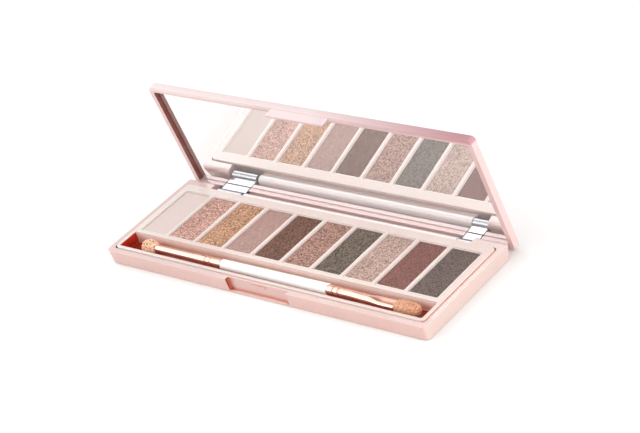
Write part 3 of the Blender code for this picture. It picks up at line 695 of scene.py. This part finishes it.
def foam(at, share):
    """(depth in mm below the foam's envelope, pore darkness from 0 to 1, which the foam's material turns
    into painted shade) at a point in millimetres.
    Share scales how far the pores are open there."""
    torn = at + 0.35 * Vector((noise.noise(at * 2.1), noise.noise(at * 2.1 + FOAM_SHIFT),
                               noise.noise(at * 2.1 - FOAM_SHIFT)))
    nearest = noise.voronoi(torn * 1.25)[0][0]
    small = noise.voronoi(torn * 2.9)[0][0]
    wide = 0.5 + 0.9 * noise.noise(at * 0.9)
    pore = max(0.0, 1.0 - nearest / (0.28 + 0.22 * wide)) + 0.9 * max(0.0, 1.0 - small / 0.38)
    pore = min(1.0, pore) * share
    lump = 0.5 + 0.5 * noise.noise(at * 0.8)
    grain = 0.5 + 0.5 * noise.noise(at * 4.0)
    return 0.24 * pore + 0.05 * lump + 0.04 * grain, pore


def build_ball(made):
    low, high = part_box("applicator_ball")
    radius = (high.z - low.z) / 2
    half_length = BALL_STRETCH * radius
    centre = Vector((low.x + half_length, (low.y + high.y) / 2, (low.z + high.z) / 2))
    bm = bmesh.new()
    bmesh.ops.create_icosphere(bm, subdivisions=6, radius=1.0)
    pore_layer = bm.verts.layers.float.new("pore")
    for vert in bm.verts:
        direction = vert.co.normalized()
        depth, vert[pore_layer] = foam(direction * radius / MM, 1.0)
        point = centre + direction * (radius - depth * MM)
        point.x = min(centre.x + direction.x * (half_length - depth * MM), high.x)
        vert.co = point
    ball = new_piece("sponge_ball", bm, made, "applicator", "sponge", "applicator_ball",
                     smooth_angle=80.0)


def tip_stations():
    """(share of the length, share of the full size) along the tip: slim neck, body and blunt end."""
    neck, body, blunt, edge = 0.14, 0.55, 3.0, 0.75
    stations = []
    for step in range(24):
        share = step / 24 * body
        stations.append((share, 1.0 - 0.16 * max(0.0, 1.0 - share / neck) ** 2))
    for step in range(16):
        along = step / 16 * edge
        stations.append((body + (1 - body) * along, (1 - along ** blunt) ** (1 / blunt)))
    shoulder = (1 - edge ** blunt) ** (1 / blunt)
    for step in range(30):
        size = shoulder * (1 - step / 29) + 0.03 * step / 29
        stations.append((body + (1 - body) * (1 - size ** blunt) ** (1 / blunt), size))
    return stations


def build_tip(made):
    low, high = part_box("applicator_tip")
    centre = (low + high) / 2
    half_width, half_height = (high.y - low.y) / 2, (high.z - low.z) / 2
    length = high.x - low.x
    bm = bmesh.new()
    pore_layer = bm.verts.layers.float.new("pore")
    segments, squareness = 96, 0.88
    rings = []
    for share, size in tip_stations():
        ring = []
        for index in range(segments):
            turn = 2 * math.pi * index / segments
            c, s = math.cos(turn), math.sin(turn)
            across = math.copysign(abs(c) ** squareness, c) * half_width * size
            up = math.copysign(abs(s) ** squareness, s) * half_height * size
            at = Vector((length * share, across, up))
            depth, pore = foam(at / MM, min(1.0, 0.15 + 1.5 * max(0.0, share - 0.25)))
            flat = Vector((0.0, across, up))
            flat *= max(0.0, 1.0 - depth * MM / max(flat.length, 0.6 * MM))
            vert = bm.verts.new((low.x + length * share - depth * MM * (1 - size), centre.y + flat.y,
                                 centre.z + flat.z))
            vert[pore_layer] = pore
            ring.append(vert)
        rings.append(ring)
    for first, second in zip(rings, rings[1:]):
        for index in range(segments):
            after = (index + 1) % segments
            bm.faces.new((first[index], first[after], second[after], second[index]))
    bm.faces.new(rings[0])
    bm.faces.new(list(reversed(rings[-1])))
    tip = new_piece("sponge_tip", bm, made, "applicator", "sponge", "applicator_tip",
                    smooth_angle=80.0)


def build_applicator():
    rose_gold = metal_material("rose_gold_plate", (0.88, 0.52, 0.42), 0.15, (9000.0, 300.0, 300.0), 0.02)
    build_handle(lacquer_material())
    build_left_ferrule(rose_gold)
    build_right_ferrule(rose_gold)
    build_ball(sponge_material("foam_ball", (0.68, 0.34, 0.18), (1.0, 0.80, 0.60)))
    build_tip(sponge_material("foam_tip", (0.46, 0.20, 0.115), (0.80, 0.46, 0.30)))


# ---- carried-over nodes --------------------------------------------------------------------------
def dress_frame_nodes():
    chrome = metal_material("hinge_chrome_plate", (0.34, 0.34, 0.36), 0.20, (3000.0, 250.0, 250.0), 0.01)
    steel = metal_material("ground_pin_steel", (0.55, 0.55, 0.57), 0.26, (9000.0, 400.0, 400.0), 0.20)
    tin = metal_material("drawn_pan_tin", (0.88, 0.80, 0.77), 0.42, (400.0, 400.0, 5000.0), 0.20, 0.5)
    stem = plastic_material("stem_nylon", (0.82, 0.80, 0.76), 0.45, 0.1)
    nodes = frame["nodes"]
    dress(nodes["mirror"], mirror_material())
    dress(nodes["mirror_tape"], film_material())
    build_knuckles(chrome)
    for side in ("left", "right"):
        dress(nodes["hinge_pin_" + side], steel)
        dress(nodes["applicator_stem_" + side], stem)
    for number in range(1, len(SHADES) + 1):
        dress(nodes["pan_%02d" % number], tin)


# ---- stage ---------------------------------------------------------------------------------------
def build_floor():
    made, tree, shader = new_material("studio_paper")
    where = place(tree)
    fibre = noise_value(tree, where, 900.0, 4.0)
    tint = mix_colour(tree, fibre, (0.93, 0.925, 0.92), (0.96, 0.955, 0.95))
    tree.links.new(tint, shader.inputs["Base Color"])
    tree.links.new(remap(tree, fibre, 0.80, 0.92), shader.inputs["Roughness"])
    bm = bmesh.new()
    bmesh.ops.create_grid(bm, x_segments=2, y_segments=2, size=FLOOR_HALF)
    mesh = bpy.data.meshes.new("floor")
    bm.to_mesh(mesh)
    bm.free()
    floor = bpy.data.objects.new("floor", mesh)
    bpy.context.scene.collection.objects.link(floor)
    floor.location.z = cad_low.z - 0.02 * MM
    mesh.materials.append(made)


def build_light():
    world = bpy.data.worlds.new("studio")
    world.use_nodes = True
    tree = world.node_tree
    background = tree.nodes["Background"]
    direction = node(tree, "ShaderNodeTexCoord").outputs["Generated"]

    def towards(centre):
        return node(tree, "ShaderNodeVectorMath", {0: direction, 1: centre},
                    operation="DOT_PRODUCT").outputs["Value"]

    def patch(centre, edge, outside, inside):
        inputs = {"Value": towards(centre), "From Min": edge[0], "From Max": edge[1],
                  "To Min": outside, "To Max": inside}
        return node(tree, "ShaderNodeMapRange", inputs, interpolation_type="SMOOTHSTEP").outputs["Result"]

    lamp_light = patch(LAMP_DIRECTION, LAMP_EDGE, FILL_STRENGTH, LAMP_STRENGTH)
    card = patch(CARD_DIRECTION, CARD_EDGE, 1.0, 1.0 - CARD_SHARE)
    core = remap(tree, towards(CORE_DIRECTION), 0.0, CORE_STRENGTH, *CORE_EDGE)
    shaded = both(tree, lamp_light, card)
    shaded = node(tree, "ShaderNodeMath", {0: shaded, 1: core}, operation="ADD").outputs[0]
    tree.links.new(shaded, background.inputs["Strength"])
    background.inputs["Color"].default_value = (1.0, 0.995, 0.99, 1.0)
    bpy.context.scene.world = world

    data = bpy.data.lights.new("side_panel", "AREA")
    data.shape = "RECTANGLE"
    data.size, data.size_y = PANEL_SIZE
    data.energy = PANEL_ENERGY
    data.color = (1.0, 0.99, 0.98)
    lamp = bpy.data.objects.new("side_panel", data)
    bpy.context.scene.collection.objects.link(lamp)
    lamp.location = PANEL_PLACE
    lamp.rotation_mode = "QUATERNION"
    lamp.rotation_quaternion = (LOOK_AT - lamp.location).to_track_quat("-Z", "Y")
    lamp.visible_camera = False
    bpy.context.scene.view_settings.view_transform = "Standard"


def build_camera():
    azimuth, elevation = math.radians(CAMERA_AZIMUTH), math.radians(CAMERA_ELEVATION)
    back = Vector((math.sin(azimuth) * math.cos(elevation), -math.cos(azimuth) * math.cos(elevation),
                   math.sin(elevation)))
    right = Vector((math.cos(azimuth), math.sin(azimuth), 0.0))
    basis = Matrix((right, back.cross(right), back)).transposed()
    turned = Matrix.Rotation(math.radians(CAMERA_ROLL), 3, back) @ basis
    data = bpy.data.cameras.new("camera")
    data.lens = CAMERA_LENS
    data.sensor_width = 36.0
    data.clip_start, data.clip_end = 0.01, 20.0
    camera = bpy.data.objects.new("camera", data)
    bpy.context.scene.collection.objects.link(camera)
    camera.matrix_world = Matrix.Translation(LOOK_AT + back * CAMERA_DISTANCE) @ turned.to_4x4()
    bpy.context.scene.camera = camera


build_camera()
build_light()
build_floor()
build_mouldings()
build_powders()
build_applicator()
dress_frame_nodes()
